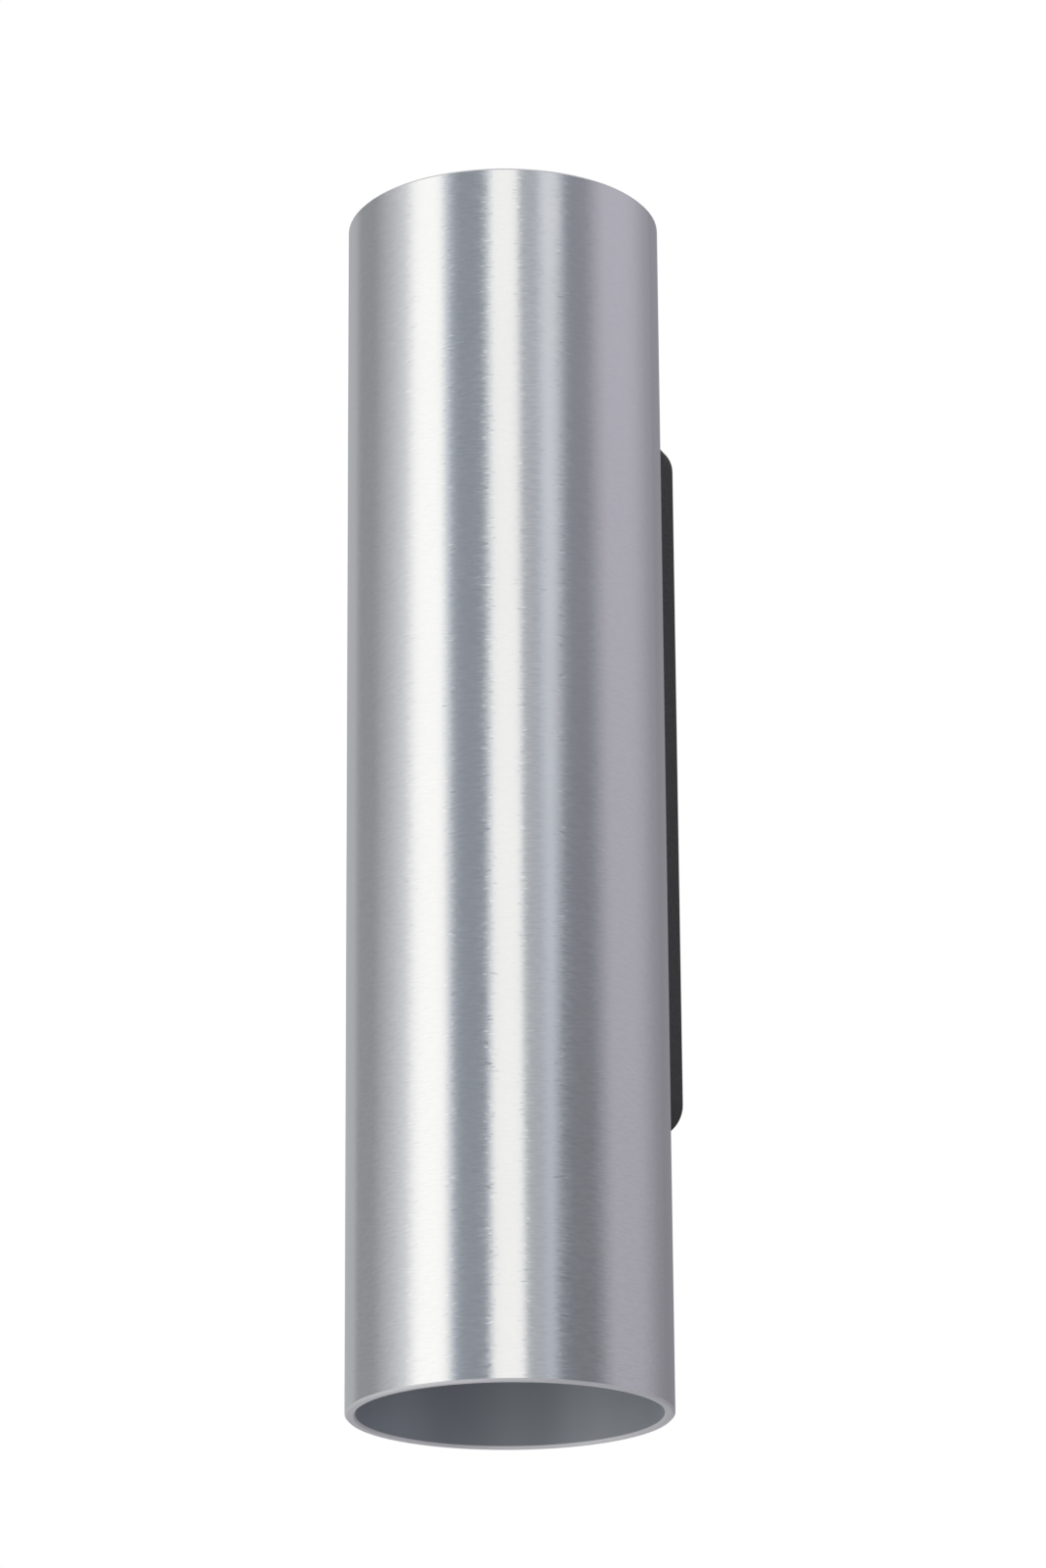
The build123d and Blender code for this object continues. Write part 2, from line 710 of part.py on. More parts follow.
def make_lead_pair(across, pole_z, lane_y):
    """The leads of both lamps that share one terminal."""
    upper = lamp_lead(1, across, lane_y, pole_z - pair_offset)
    lower = lamp_lead(-1, across, lane_y, pole_z + pair_offset)
    return group([upper, lower])


def make_earth_lead():
    """From the carrier's earth tag to the middle terminal, outside the other leads."""
    barrel_top = tube_middle - earth_point_drop + earth_tag_radius + earth_barrel_length
    start_z = barrel_top - earth_grip + fit_gap
    entry_y = channel_y - pair_offset - 2 * fit_gap
    crossing_y = entry_y - earth_crossing
    points = [
        (0, earth_lead_y(), start_z),
        (0, earth_lead_y(), tube_middle),
        (0, crossing_y, tube_middle),
        (-outer_lane, crossing_y, tube_middle),
        (-outer_lane, entry_y, tube_middle + earth_rise),
        (-outer_lane, entry_y, block_centre_z),
        (-insert_length / 2 - terminal_gap, entry_y, block_centre_z),
    ]
    return lead(points, lead_bend)


# ---------------------------------------------------------------- nodes

nodes = {
    "outer_tube": make_outer_tube(),
    "back_box": make_back_box(),
    "wall_bracket": make_wall_bracket(),
    "box_fixing_screws": make_box_fixing_screws(),
    "cable_entry_grommet": make_cable_entry_grommet(),
    "bracket_earth_screw": make_bracket_earth_screw(),
    "bracket_earth_washer": make_bracket_earth_washer(),
    "terminal_block": make_terminal_block(),
    "terminal_inserts": make_terminal_inserts(),
    "terminal_screws": make_terminal_screws(),
    "terminal_block_screws": make_terminal_block_screws(),
    "tube_fixing_screws": make_tube_fixing_screws(),
    "tube_fixing_washers": make_tube_fixing_washers(),
    "lead_grommet": make_lead_grommet(),
    "lamp_carrier": make_lamp_carrier(),
    "carrier_nuts": make_carrier_nuts(),
    "lampholder_screws": make_lampholder_screws(),
    "lampholder_nuts": make_lampholder_nuts(),
    "earth_tag": make_earth_tag(),
    "earth_tag_screw": make_earth_tag_screw(),
    "live_leads": make_lead_pair(1, pole_heights[2], channel_y + pair_offset),
    "neutral_leads": make_lead_pair(-1, pole_heights[0], channel_y - pair_offset),
    "earth_lead": make_earth_lead(),
}
for name, side in (("upper", 1), ("lower", -1)):
    nodes[name + "_lampholder"] = placed(make_lampholder(), side)
    nodes[name + "_contacts"] = make_contacts(side)
    nodes[name + "_lamp_body"] = placed(make_lamp_body(), side)
    nodes[name + "_lamp_lens"] = placed(make_lamp_lens(), side)
    nodes[name + "_lamp_board"] = placed(make_lamp_board(), side)
    nodes[name + "_lamp_pins"] = group(placed(pin, side) for pin in make_lamp_pins())

os.makedirs("parts", exist_ok=True)
for name, shape in nodes.items():
    export_step(shape, f"parts/{name}.step")
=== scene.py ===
"""Looks of the tube wall light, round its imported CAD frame.

Metres. +Z is up, +Y points into the wall, and the light faces -Y. The origin is on the wall,
at the middle of the back box.
"""

import json
from math import cos, pi, radians, sin, sqrt

import bpy
from mathutils import Matrix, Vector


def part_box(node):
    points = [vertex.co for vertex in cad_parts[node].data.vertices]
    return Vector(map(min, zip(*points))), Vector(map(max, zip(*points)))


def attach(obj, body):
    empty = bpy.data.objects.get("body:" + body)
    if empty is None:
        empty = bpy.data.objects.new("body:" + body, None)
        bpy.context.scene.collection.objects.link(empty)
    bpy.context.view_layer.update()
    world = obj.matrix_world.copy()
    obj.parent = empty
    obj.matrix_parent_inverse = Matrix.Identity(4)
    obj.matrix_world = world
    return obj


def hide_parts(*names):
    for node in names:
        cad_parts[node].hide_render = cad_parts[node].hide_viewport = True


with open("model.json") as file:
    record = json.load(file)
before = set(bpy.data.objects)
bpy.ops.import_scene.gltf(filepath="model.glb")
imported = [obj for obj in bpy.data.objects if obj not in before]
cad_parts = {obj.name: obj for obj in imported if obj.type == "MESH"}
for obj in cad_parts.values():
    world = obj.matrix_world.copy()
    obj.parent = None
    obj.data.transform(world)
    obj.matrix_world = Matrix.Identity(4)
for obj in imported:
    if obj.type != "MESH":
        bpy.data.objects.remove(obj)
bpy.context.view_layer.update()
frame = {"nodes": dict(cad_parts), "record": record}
nodes = frame["nodes"]

mm = 0.001
tube_low, tube_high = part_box("outer_tube")
tube_centre = (tube_low + tube_high) / 2
tube_radius = (tube_high.x - tube_low.x) / 2
tube_wall = 2 * mm
rim_band = 0.45 * mm  # just over the height of the chamfers on the tube's rims


def meshed(name, points, faces, material):
    """A new object of its own mesh."""
    mesh = bpy.data.meshes.new(name)
    mesh.from_pydata(points, [], faces)
    mesh.materials.append(material)
    piece = bpy.data.objects.new(name, mesh)
    bpy.context.scene.collection.objects.link(piece)
    return piece


# ---------------------------------------------------------------- materials


class Finish:
    """A procedural material, with short calls for the nodes that it uses."""

    def __init__(self, name, color, roughness, metallic=0.0, **constants):
        self.material = bpy.data.materials.new(name)
        self.material.use_nodes = True
        self.tree = self.material.node_tree
        self.shader = self.tree.nodes["Principled BSDF"]
        self.place = self.node("ShaderNodeTexCoord").outputs["Object"]
        self.color = color
        self.shader.inputs["Base Color"].default_value = (*color, 1)
        self.shader.inputs["Roughness"].default_value = roughness
        self.shader.inputs["Metallic"].default_value = metallic
        for socket, value in constants.items():
            self.shader.inputs[socket.replace("_", " ")].default_value = value

    def node(self, kind, inputs=None, **settings):
        node = self.tree.nodes.new(kind)
        for name, value in settings.items():
            setattr(node, name, value)
        for socket, value in (inputs or {}).items():
            self.feed(node.inputs[socket], value)
        return node

    def feed(self, socket, value):
        """Sets a socket to a number or colour, or links it to another node's output."""
        if isinstance(value, bpy.types.NodeSocket):
            self.tree.links.new(value, socket)
        else:
            socket.default_value = value

    def math(self, operation, *values):
        node = self.node("ShaderNodeMath", operation=operation)
        for socket, value in zip(node.inputs, values):
            self.feed(socket, value)
        return node.outputs["Value"]

    def vector(self, operation, inputs, result="Vector"):
        return self.node("ShaderNodeVectorMath", inputs, operation=operation).outputs[result]

    def noise(self, size, detail=3.0, stretch=(1, 1, 1)):
        """Noise whose spots are about size across, times the factors in stretch on X, Y and Z."""
        scale = [1 / (size * factor) for factor in stretch]
        place = self.vector("MULTIPLY", {0: self.place, 1: scale})
        texture = self.node("ShaderNodeTexNoise", {"Vector": place, "Scale": 1.0, "Detail": detail})
        return texture.outputs["Fac"]

    def span(self, factor, low, high, start=0.3, end=0.7):
        """Maps a factor to the values low to high, smoothly between start and end."""
        node = self.node(
            "ShaderNodeMapRange",
            {"Value": factor, "From Min": start, "From Max": end, "To Min": low, "To Max": high},
            interpolation_type="SMOOTHSTEP",
        )
        return node.outputs["Result"]

    def blend(self, factor, first, second):
        """A mix of two colours."""
        node = self.node("ShaderNodeMix", {0: factor}, data_type="RGBA")
        # The node's sockets for colours come after those for numbers and vectors.
        for socket, value in zip(node.inputs[6:8], (first, second)):
            self.feed(socket, (*value, 1) if isinstance(value, tuple) else value)
        return node.outputs[2]

    def shade(self, factor, amount):
        """The finish's own colour, darker by up to amount where the factor is low."""
        dark = tuple(channel * (1 - amount) for channel in self.color)
        return self.blend(factor, dark, self.color)

    def bump(self, height, distance, normal=None):
        inputs = {"Height": height, "Distance": distance, "Strength": 1.0}
        if normal is not None:
            inputs["Normal"] = normal
        return self.node("ShaderNodeBump", inputs).outputs["Normal"]

    def put(self, **outputs):
        """Links outputs to the shader's sockets, whose spaces are written as underscores."""
        for socket, value in outputs.items():
            self.feed(self.shader.inputs[socket.replace("_", " ")], value)
        return self.material

    def surface(self, node):
        """Takes another node's output as the surface, in place of the shader's."""
        self.feed(self.tree.nodes["Material Output"].inputs["Surface"], node.outputs[0])
        return self.material


def grained(name, color, roughness, grain, depth, metallic, shading):
    """A plain finish with cloudy colour, uneven gloss and a fine grain."""
    cloud_size = 30 * grain
    spread = 0.06  # of the roughness, to each side
    finish = Finish(name, color, roughness, metallic)
    cloud = finish.noise(cloud_size)
    fine = finish.noise(grain, detail=4.0)
    return finish.put(
        Base_Color=finish.shade(finish.span(cloud, 0, 1), shading),
        Roughness=finish.span(fine, roughness - spread, roughness + spread),
        Normal=finish.bump(fine, depth),
    )


def brushed_aluminium():
    """Satin brushing round the tube. The bore and the cut rims are duller, and the bore's darker,
    bluer colour is partly painted shade of the tube's inside.
    """
    # The bore's colours are darker and bluer than the outside's. This is partly a duller finish and
    # partly painted shade of the tube's inside.
    bore_dark_painted_shade, bore_light_painted_shade = (0.365, 0.39, 0.43), (0.40, 0.425, 0.47)
    rim_color = (0.70, 0.69, 0.72)
    metal_lost, roughness_gained = 0.65, 0.32  # on the dull surfaces
    brushing = (5, 5, 1)  # its marks are this much longer round the tube
    streak_size, streak_shading, streak_depth = 0.4 * mm, 0.03, 0.002 * mm
    scratch_size, scratch_lean = 0.34 * mm, 0.028  # the lean as a tangent
    cloud_size, cloud_stretch = 14 * mm, (1, 1, 2.5)

    finish = Finish(
        "brushed_tube",
        (0.84, 0.84, 0.86),
        0.25,
        metallic=1.0,
        Anisotropic=0.8,
        Anisotropic_Rotation=0.25,
    )
    streaks = finish.noise(streak_size, detail=2.0, stretch=brushing)
    scratches = finish.noise(scratch_size, detail=1.0, stretch=brushing)
    clouds = finish.noise(cloud_size, stretch=cloud_stretch)

    place = finish.node("ShaderNodeSeparateXYZ", {0: finish.place}).outputs
    from_axis = finish.math("SUBTRACT", place["Y"], tube_centre.y)
    across_squared = finish.math("MULTIPLY", place["X"], place["X"])
    along_squared = finish.math("MULTIPLY", from_axis, from_axis)
    radius = finish.math("SQRT", finish.math("ADD", across_squared, along_squared))
    inside = finish.math("LESS_THAN", radius, tube_radius - tube_wall / 2)
    from_middle = finish.math("ABSOLUTE", finish.math("SUBTRACT", place["Z"], tube_centre.z))
    rim = finish.math("GREATER_THAN", from_middle, tube_high.z - tube_centre.z - rim_band)
    dull = finish.math("MAXIMUM", inside, rim)

    skin = finish.shade(finish.span(streaks, 0, 1, 0.32, 0.62), streak_shading)
    # Painted shade in the bore: its darkened, bluer colour, clouded at random between the two
    # tones.
    bore = finish.blend(finish.span(clouds, 0, 1), bore_dark_painted_shade, bore_light_painted_shade)
    gloss = finish.math("ADD", finish.span(clouds, 0.18, 0.22), finish.span(streaks, -0.02, 0.04))

    # A few scratches lean a little to one side, and show the light from beside their place.
    one_side = finish.span(scratches, 0, 1, 0.62, 0.76)
    other_side = finish.span(scratches, 1, 0, 0.24, 0.38)
    lean = finish.math("MULTIPLY", finish.math("SUBTRACT", one_side, other_side), scratch_lean)
    around = finish.node("ShaderNodeTangent", direction_type="RADIAL", axis="Z").outputs[0]
    sideways = finish.vector("SCALE", {0: around, "Scale": lean})
    face = finish.node("ShaderNodeNewGeometry").outputs["Normal"]
    normal = finish.vector("NORMALIZE", {0: finish.vector("ADD", {0: face, 1: sideways})})
    return finish.put(
        Base_Color=finish.blend(rim, finish.blend(inside, skin, bore), rim_color),
        Metallic=finish.math("SUBTRACT", 1.0, finish.math("MULTIPLY", dull, metal_lost)),
        Roughness=finish.math("ADD", gloss, finish.math("MULTIPLY", dull, roughness_gained)),
        Normal=finish.bump(streaks, streak_depth, normal),
        Tangent=around,
    )


def powder_coat():
    """A fine matt black coat with the faint orange peel of cured powder."""
    peel_size, peel_depth = 0.9 * mm, 0.05 * mm
    speckle_size, speckle_height, speckle_shading = 0.18 * mm, 0.35, 0.3
    finish = Finish("black_box", (0.0272, 0.0272, 0.0252), 0.58, Specular_IOR_Level=0.4)
    peel = finish.noise(peel_size, detail=2.0)
    speckle = finish.noise(speckle_size, detail=2.0)
    height = finish.math("ADD", peel, finish.math("MULTIPLY", speckle, speckle_height))
    return finish.put(
        Base_Color=finish.shade(finish.span(speckle, 0, 1), speckle_shading),
        Roughness=finish.span(peel, 0.48, 0.60),
        Normal=finish.bump(height, peel_depth),
    )


def zinc_plate():
    """Bright zinc: crystal patches of slightly different grey, and fine rolling lines."""
    crystal_size, crystal_shading = 2.2 * mm, 0.12
    line_size, line_stretch, line_depth = 0.25 * mm, (1, 1, 30), 0.008 * mm
    finish = Finish("zinc_steel", (0.62, 0.63, 0.65), 0.34, metallic=1.0)
    crystals = finish.node(
        "ShaderNodeTexVoronoi", {"Vector": finish.place, "Scale": 1 / crystal_size}
    )
    patches = finish.node("ShaderNodeSeparateColor", {0: crystals.outputs["Color"]}).outputs[0]
    lines = finish.noise(line_size, stretch=line_stretch)
    patch_gloss = finish.span(patches, 0.28, 0.36, 0, 1)
    return finish.put(
        Base_Color=finish.shade(patches, crystal_shading),
        Roughness=finish.math("ADD", patch_gloss, finish.span(lines, -0.03, 0.05)),
        Normal=finish.bump(lines, line_depth),
    )


def striped_insulation():
    """Green and yellow: the stripe keeps to one side of the lead along its whole length."""
    green, yellow = (0.03, 0.27, 0.06), (0.78, 0.62, 0.03)
    stripe_side = (0.577, 0.577, 0.577)  # the direction that the stripe faces
    stripe_edge = 0.25  # cosine of the angle between that and the stripe's edge
    grain_size, grain_depth = 0.3 * mm, 0.01 * mm
    finish = Finish("green_yellow_insulation", green, 0.4)
    facing = finish.node("ShaderNodeTexCoord").outputs["Normal"]
    side = finish.vector("DOT_PRODUCT", {0: facing, 1: stripe_side}, result="Value")
    stripe = finish.math("GREATER_THAN", side, stripe_edge)
    grain = finish.noise(grain_size)
    return finish.put(
        Base_Color=finish.blend(stripe, green, yellow),
        Roughness=finish.span(grain, 0.34, 0.46),
        Normal=finish.bump(grain, grain_depth),
    )


def clear_moulding():
    """Clear plastic with a little haze and the faint flow marks of its mould."""
    haze_size, haze_shading = 5 * mm, 0.02
    grain_size, grain_depth = 0.4 * mm, 0.002 * mm
    finish = Finish("lamp_lens", (0.97, 0.98, 0.98), 0.08, Transmission_Weight=0.9, IOR=1.49)
    haze = finish.noise(haze_size, detail=2.0)
    grain = finish.noise(grain_size, detail=2.0)
    haze_gloss = finish.span(haze, 0.05, 0.10)
    return finish.put(
        Base_Color=finish.shade(finish.span(haze, 0, 1), haze_shading),
        Roughness=finish.math("ADD", haze_gloss, finish.span(grain, -0.01, 0.03)),
        Normal=finish.bump(grain, grain_depth),
    )


def light_board():
    """A white board with yellow chips, which are what stands above its face."""
    chip_color = (0.80, 0.62, 0.10)
    chip_band = 0.6 * mm  # a little less than the chips stand above the board
    grain_size, grain_depth, grain_shading = 0.4 * mm, 0.01 * mm, 0.08
    chip_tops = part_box("upper_lamp_board")[1].z
    finish = Finish("lamp_board", (0.86, 0.86, 0.84), 0.4)
    height = finish.node("ShaderNodeSeparateXYZ", {0: finish.place}).outputs["Z"]
    from_middle = finish.math("ABSOLUTE", finish.math("SUBTRACT", height, tube_centre.z))
    chip = finish.math("GREATER_THAN", from_middle, chip_tops - tube_centre.z - chip_band)
    grain = finish.noise(grain_size)
    board = finish.shade(finish.span(grain, 0, 1), grain_shading)
    return finish.put(
        Base_Color=finish.blend(chip, board, chip_color),
        Roughness=finish.span(grain, 0.32, 0.48),
        Normal=finish.bump(grain, grain_depth),
    )


# Colour, roughness, size and depth of the grain in millimetres, metallic, shading of the clouds.
plain_finishes = {
    "black_screw": ((0.028, 0.028, 0.030), 0.36, 0.25, 0.01, 0.4, 0.1),
    "black_rubber": ((0.022, 0.022, 0.023), 0.72, 0.35, 0.03, 0.0, 0.3),
    "brass": ((0.74, 0.56, 0.26), 0.30, 0.3, 0.01, 1.0, 0.2),
    "terminal_plastic": ((0.80, 0.80, 0.76), 0.42, 0.4, 0.012, 0.0, 0.1),
    "tinned_copper": ((0.70, 0.69, 0.66), 0.32, 0.3, 0.01, 1.0, 0.1),
    "brown_insulation": ((0.15, 0.062, 0.03), 0.4, 0.3, 0.01, 0.0, 0.1),
    "blue_insulation": ((0.04, 0.13, 0.42), 0.4, 0.3, 0.01, 0.0, 0.1),
    "ceramic": ((0.84, 0.83, 0.79), 0.5, 0.35, 0.02, 0.0, 0.06),
    "lamp_housing": ((0.80, 0.80, 0.79), 0.38, 0.5, 0.01, 0.0, 0.04),
    "nickel_pins": ((0.72, 0.70, 0.66), 0.2, 0.3, 0.005, 1.0, 0.1),
}
finishes = {
    "brushed_tube": brushed_aluminium(),
    "black_box": powder_coat(),
    "zinc_steel": zinc_plate(),
    "green_yellow_insulation": striped_insulation(),
    "lamp_lens": clear_moulding(),
    "lamp_board": light_board(),
}
for name, (color, roughness, grain, depth, metallic, shading) in plain_finishes.items():
    finishes[name] = grained(name, color, roughness, grain * mm, depth * mm, metallic, shading)

for row in frame["record"]["subparts"]:
    piece = nodes[row["node"]]
    finish = finishes[row["material_slot"]]
    if not piece.material_slots:
        piece.data.materials.append(finish)
    for slot in piece.material_slots:
        slot.material = finish


# ---------------------------------------------------------------- lamp lenses

lenslet_pitch = 3.0 * mm  # from ring to ring, round one lenslet in the middle
lenslet_rings = 6
ring_lenslets = 6  # in the first ring, and as many more in each ring after it
lenslet_height = 0.5 * mm
lenslet_steps = 6  # from one side of a ring to the other
lens_disc = 2.0 * mm  # thickness
lens_edge = 0.5 * mm  # width of the slope inside the flat rim, and of the chamfer round it
lens_cone_radii = (10.4 * mm, 20.6 * mm)  # at its foot and at the disc
pocket_radius = 8.38 * mm
pocket_depth = 6.0 * mm
crown_radius = 16.0 * mm
crown_height = 2.0 * mm
lens_turns = 360  # points round the lens, one for each degree
smooth_angle = radians(32)  # sharper edges than this stay sharp


def lens_front(front):
    """Rows of the front: radius, height of the valleys, ring, and place across it from -1 to 1."""
    valley = front - lenslet_height
    rows = []
    for i in range(1, lenslet_steps):
        radius = lenslet_pitch * i / 2 / lenslet_steps
        rows.append((radius, valley, 0, i / lenslet_steps))
    for ring in range(1, lenslet_rings + 1):
        for i in range(lenslet_steps):
            across = 2 * i / lenslet_steps - 1
            rows.append((lenslet_pitch * (ring + across / 2), valley, ring, across))
    end = lenslet_pitch * (lenslet_rings + 0.5)
    return rows + [(end, valley, None, 0), (end + lens_edge, front, None, 0)]


def lens_back(radius, foot, front):
    """Rows from the edge of the disc down the cone and into the pocket over the chips."""
    back = front - lens_disc
    cone_foot, cone_mouth = lens_cone_radii
    pocket_top = foot + pocket_depth
    crown_middle = pocket_top - crown_height + crown_radius
    crown_rim = sqrt(crown_radius**2 - (crown_radius - crown_height) ** 2)
    crown = [crown_rim * share for share in (1, 0.8, 0.6, 0.4, 0.2)]
    rows = [
        (radius - lens_edge, front),
        (radius, front - lens_edge),
        (radius, back),
        (cone_mouth, back),
        (cone_foot, foot),
        (pocket_radius, foot),
        (pocket_radius, pocket_top),
    ]
    rows += [(r, crown_middle - sqrt(crown_radius**2 - r**2)) for r in crown]
    return [(r, z, None, 0) for r, z in rows], pocket_top - crown_height


def lenslet_bulge(ring, across, turn):
    """How far a point stands above the valleys, as a share of the lenslets' height."""
    if ring is None:
        return 0.0
    beside = 0.0
    if ring > 0:
        cell = lens_turns / (ring_lenslets * ring)
        beside = 2 * (turn % cell) / cell - 1
    return (1 - across**2) * (1 - beside**2)


def lens_points(rows, front, pole):
    """A point in the middle of the front, a ring of points for each row, and one at the pole."""
    points = [(0, 0, front)]
    for radius, height, ring, across in rows:
        for turn in range(lens_turns):
            angle = radians(turn)
            bulge = lenslet_height * lenslet_bulge(ring, across, turn)
            points.append((radius * cos(angle), radius * sin(angle), height + bulge))
    return points + [(0, 0, pole)]


def lens_faces(row_count):
    last = 1 + row_count * lens_turns
    faces = []
    for turn in range(lens_turns):
        after = (turn + 1) % lens_turns
        faces.append((0, 1 + turn, 1 + after))
        for i in range(row_count - 1):
            here = 1 + i * lens_turns
            below = here + lens_turns
            faces.append((here + turn, below + turn, below + after, here + after))
        faces.append((last, last - lens_turns + after, last - lens_turns + turn))
    return faces


def lamp_lens(name, body):
    """A clear moulding: rings of lenslets in front, a cone behind, and a pocket over the chips."""
    low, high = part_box(name)
    side = 1 if high.z > tube_centre.z else -1
    foot, front = sorted(abs(z - tube_centre.z) for z in (low.z, high.z))
    back_rows, pole = lens_back((high.x - low.x) / 2, foot, front)
    rows = lens_front(front) + back_rows
    points = [
        (x, tube_centre.y + side * y, tube_centre.z + side * z)
        for x, y, z in lens_points(rows, front, pole)
    ]
    lens = meshed(name + "_moulding", points, lens_faces(len(rows)), finishes["lamp_lens"])
    lens.data.shade_smooth()
    lens.data.set_sharp_from_angle(angle=smooth_angle)
    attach(lens, body)
    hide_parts(name)


lamp_lens("upper_lamp_lens", "upper_lamp")
lamp_lens("lower_lamp_lens", "lower_lamp")


# ---------------------------------------------------------------- camera

image_height = 1600  # in pixels of the photograph
focal_length = 5657.64  # in the same pixels
view_azimuth = radians(20.7)  # the camera stands in front and to the right
camera_distance = 1.0555  # from the axis of the tube, measured level
camera_drop = 0.2272  # below the lower end of the tube
camera_pitch = radians(18.653)
camera_yaw = radians(-0.1832)
camera_roll = radians(0.4041)

camera = bpy.data.objects.new("camera", bpy.data.cameras.new("camera"))
bpy.context.scene.collection.objects.link(camera)
bpy.context.scene.camera = camera
camera.data.sensor_width = 36
camera.data.lens = focal_length / image_height * camera.data.sensor_width
camera.data.clip_end = 100

turn = Matrix.Rotation(view_azimuth + camera_yaw, 3, "Z")
tilt = Matrix.Rotation(camera_pitch, 3, "X") @ Matrix.Rotation(camera_roll, 3, "Y")
right, forward, up = (turn @ tilt).transposed()
camera.matrix_world = Matrix((right, up, -forward)).transposed().to_4x4()
camera.location = (
    tube_centre.x + camera_distance * sin(view_azimuth),
    tube_centre.y - camera_distance * cos(view_azimuth),
    tube_low.z - camera_drop,
)


# ---------------------------------------------------------------- studio

floor_level = -1.7  # the light hangs at a usual height on its wall
floor_reach = 30.0  # past what any view from above shows
floor_glow = 0.8  # share of its own light in what is seen of it
# The ring of panels: a funnel that opens from the floor, and upright above it. Radius, height.
studio_profile = ((0.45, floor_level + 0.02), (2.6, -0.4), (2.6, 4.2))
studio_steps = 180  # points round the ring


def pale_floor():
    """Matt floor that also glows for what looks at it, so that it shows near white."""
    mottle_size = 0.05
    finish = Finish("pale_floor", (0.86, 0.86, 0.86), 0.7)
    finish.put(Roughness=finish.span(finish.noise(mottle_size), 0.65, 0.75))
    path = finish.node("ShaderNodeLightPath").outputs
    seen = finish.math("MAXIMUM", path["Is Camera Ray"], path["Is Glossy Ray"])
    seen = finish.math("MAXIMUM", seen, path["Is Transmission Ray"])
    share = finish.math("MULTIPLY", seen, floor_glow)
    glow = finish.node("ShaderNodeEmission", {"Color": (1, 1, 1, 1), "Strength": 1.0})
    lit = {0: share, 1: finish.shader.outputs[0], 2: glow.outputs[0]}
    return finish.surface(finish.node("ShaderNodeMixShader", lit))


def studio_floor():
    corners = ((-1, -1), (1, -1), (1, 1), (-1, 1))
    points = [(x * floor_reach, y * floor_reach, floor_level) for x, y in corners]
    piece = meshed("floor", points, [(0, 1, 2, 3)], pale_floor())


studio_floor()

# Soft panels stand in a ring round the light, between grey cards. Each row says where its panel
# starts to rise, is full, starts to fall and has ended, in degrees to the right of the camera, and
# how bright it is against the cards. Then it says how many degrees its two edges lean, and how
# much brighter it gets, for each metre up.
card_level = 0.46
panels = (
    (-142, -130, -112, -94, -0.15, 0, 0, 0),
    (-99, -67, -48.7, -37.0, 0.33, 0, -3, 0),
    (-79, -64, -48.7, -37.0, 0.35, 0, -3, 0),
    (-42, -32, -17, -12, -0.15, 0, 0, 0),
    (-14.9, -7.7, 8, 14.5, 0.59, 3, 0, 0),
    (22, 33, 33, 42.3, 0.25, 0, 15, 0.22),
    (35.5, 44.5, 59, 82, -0.208, 15, 0, 0.11),
    (62, 85, 110, 150, 0.0, 0, 0, 0.11),
    (100, 145, 172, 180, -0.185, 0, 0, 0.05),
)
panel_middle = 0.9  # height at which the leaning panels stand where their rows say
panel_low, panel_high = 0.3, 1.5  # beyond these heights they stand upright
# Two more panels near the floor light the bore. The first five columns are the same.
low_panels = (
    (-140, -115, -75, -45, 0.5),
    (60, 85, 115, 140, 0.3),
)
low_panel_top, low_panel_full = -0.1, -0.5  # below what the outside of the tube shows
first_tint = (0.975, 1.0, 1.035)
# The cards' tints from left to right: where each starts and is full, in the same degrees.
card_tints = (
    (-75, -60, (0.915, 1.0, 1.10)),
    (-5, 10, (0.96, 1.0, 1.045)),
    (20, 30, (0.935, 1.0, 1.11)),
    (40, 50, (0.965, 1.0, 1.09)),
    (54, 78, (1.02, 1.0, 1.10)),
)
panel_tint = (1.0, 1.0, 0.965)
panel_tint_start, panel_tint_full = 0.5, 1.0  # levels of light


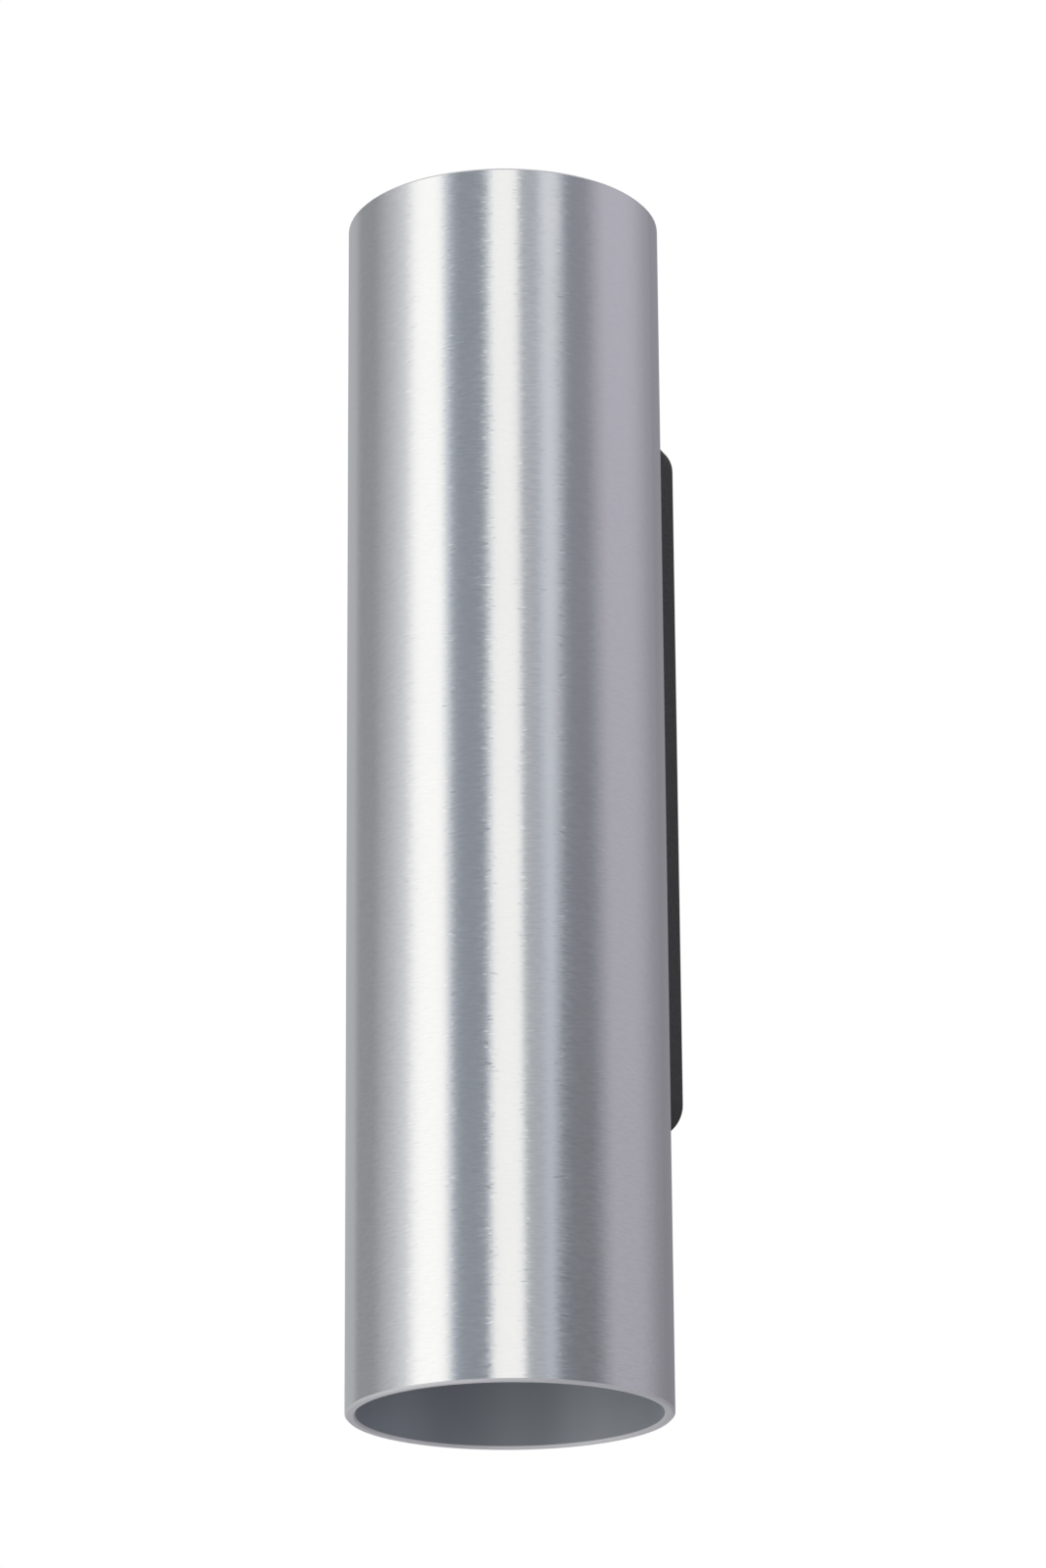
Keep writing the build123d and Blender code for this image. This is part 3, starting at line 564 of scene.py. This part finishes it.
def studio_panels():
    """The panels' light, which depends only on the direction and height of a place."""
    finish = Finish("studio_panels", (0, 0, 0), 1.0)
    place = finish.node("ShaderNodeSeparateXYZ", {0: finish.place}).outputs
    away = finish.math("SUBTRACT", tube_centre.y, place["Y"])
    azimuth = finish.math("ARCTAN2", place["X"], away)
    degrees = finish.math("MULTIPLY", finish.math("SUBTRACT", azimuth, view_azimuth), 180 / pi)
    # The seam of the angle lies behind the light.
    seam = finish.math("MULTIPLY", finish.math("LESS_THAN", degrees, -180.0), 360.0)
    degrees = finish.math("ADD", degrees, seam)
    height = finish.math("MINIMUM", finish.math("MAXIMUM", place["Z"], panel_low), panel_high)
    height = finish.math("SUBTRACT", height, panel_middle)

    def leaning(lean):
        return finish.math("SUBTRACT", degrees, finish.math("MULTIPLY", height, lean))

    def panel(strength, rise, full, fall, end, rise_lean=0.0, fall_lean=0.0):
        up_slope = finish.span(leaning(rise_lean), 0, 1, rise, full)
        down_slope = finish.span(leaning(fall_lean), 1, 0, fall, end)
        return finish.math("MULTIPLY", finish.math("MULTIPLY", up_slope, down_slope), strength)

    level = card_level
    for rise, full, fall, end, strength, rise_lean, fall_lean, climb in panels:
        glow = finish.math("ADD", finish.math("MULTIPLY", height, climb), strength)
        level = finish.math("ADD", level, panel(glow, rise, full, fall, end, rise_lean, fall_lean))
    for rise, full, fall, end, strength in low_panels:
        glow = finish.span(place["Z"], strength, 0, low_panel_full, low_panel_top)
        level = finish.math("ADD", level, panel(glow, rise, full, fall, end))
    card_tint = first_tint
    for start, full, color in card_tints:
        card_tint = finish.blend(finish.span(degrees, 0, 1, start, full), card_tint, color)
    on_panel = finish.span(level, 0, 1, panel_tint_start, panel_tint_full)
    tint = finish.blend(on_panel, card_tint, panel_tint)
    return finish.surface(finish.node("ShaderNodeEmission", {"Color": tint, "Strength": level}))


def studio_ring():
    angles = [2 * pi * i / studio_steps for i in range(studio_steps)]
    points = []
    for radius, height in studio_profile:
        points += [(radius * sin(a), tube_centre.y - radius * cos(a), height) for a in angles]
    faces = []
    for row in range(len(studio_profile) - 1):
        here = row * studio_steps
        above = here + studio_steps
        for i in range(studio_steps):
            after = (i + 1) % studio_steps
            faces.append((here + i, here + after, above + after, above + i))
    ring = meshed("studio_ring", points, faces, studio_panels())
    ring.visible_camera = False
    ring.visible_shadow = False


studio_ring()

world = bpy.data.worlds.new("white_studio")
bpy.context.scene.world = world
world.use_nodes = True
background = world.node_tree.nodes["Background"]
background.inputs["Color"].default_value = (1, 1, 1, 1)
background.inputs["Strength"].default_value = 1.0

bpy.context.scene.view_settings.view_transform = "Standard"
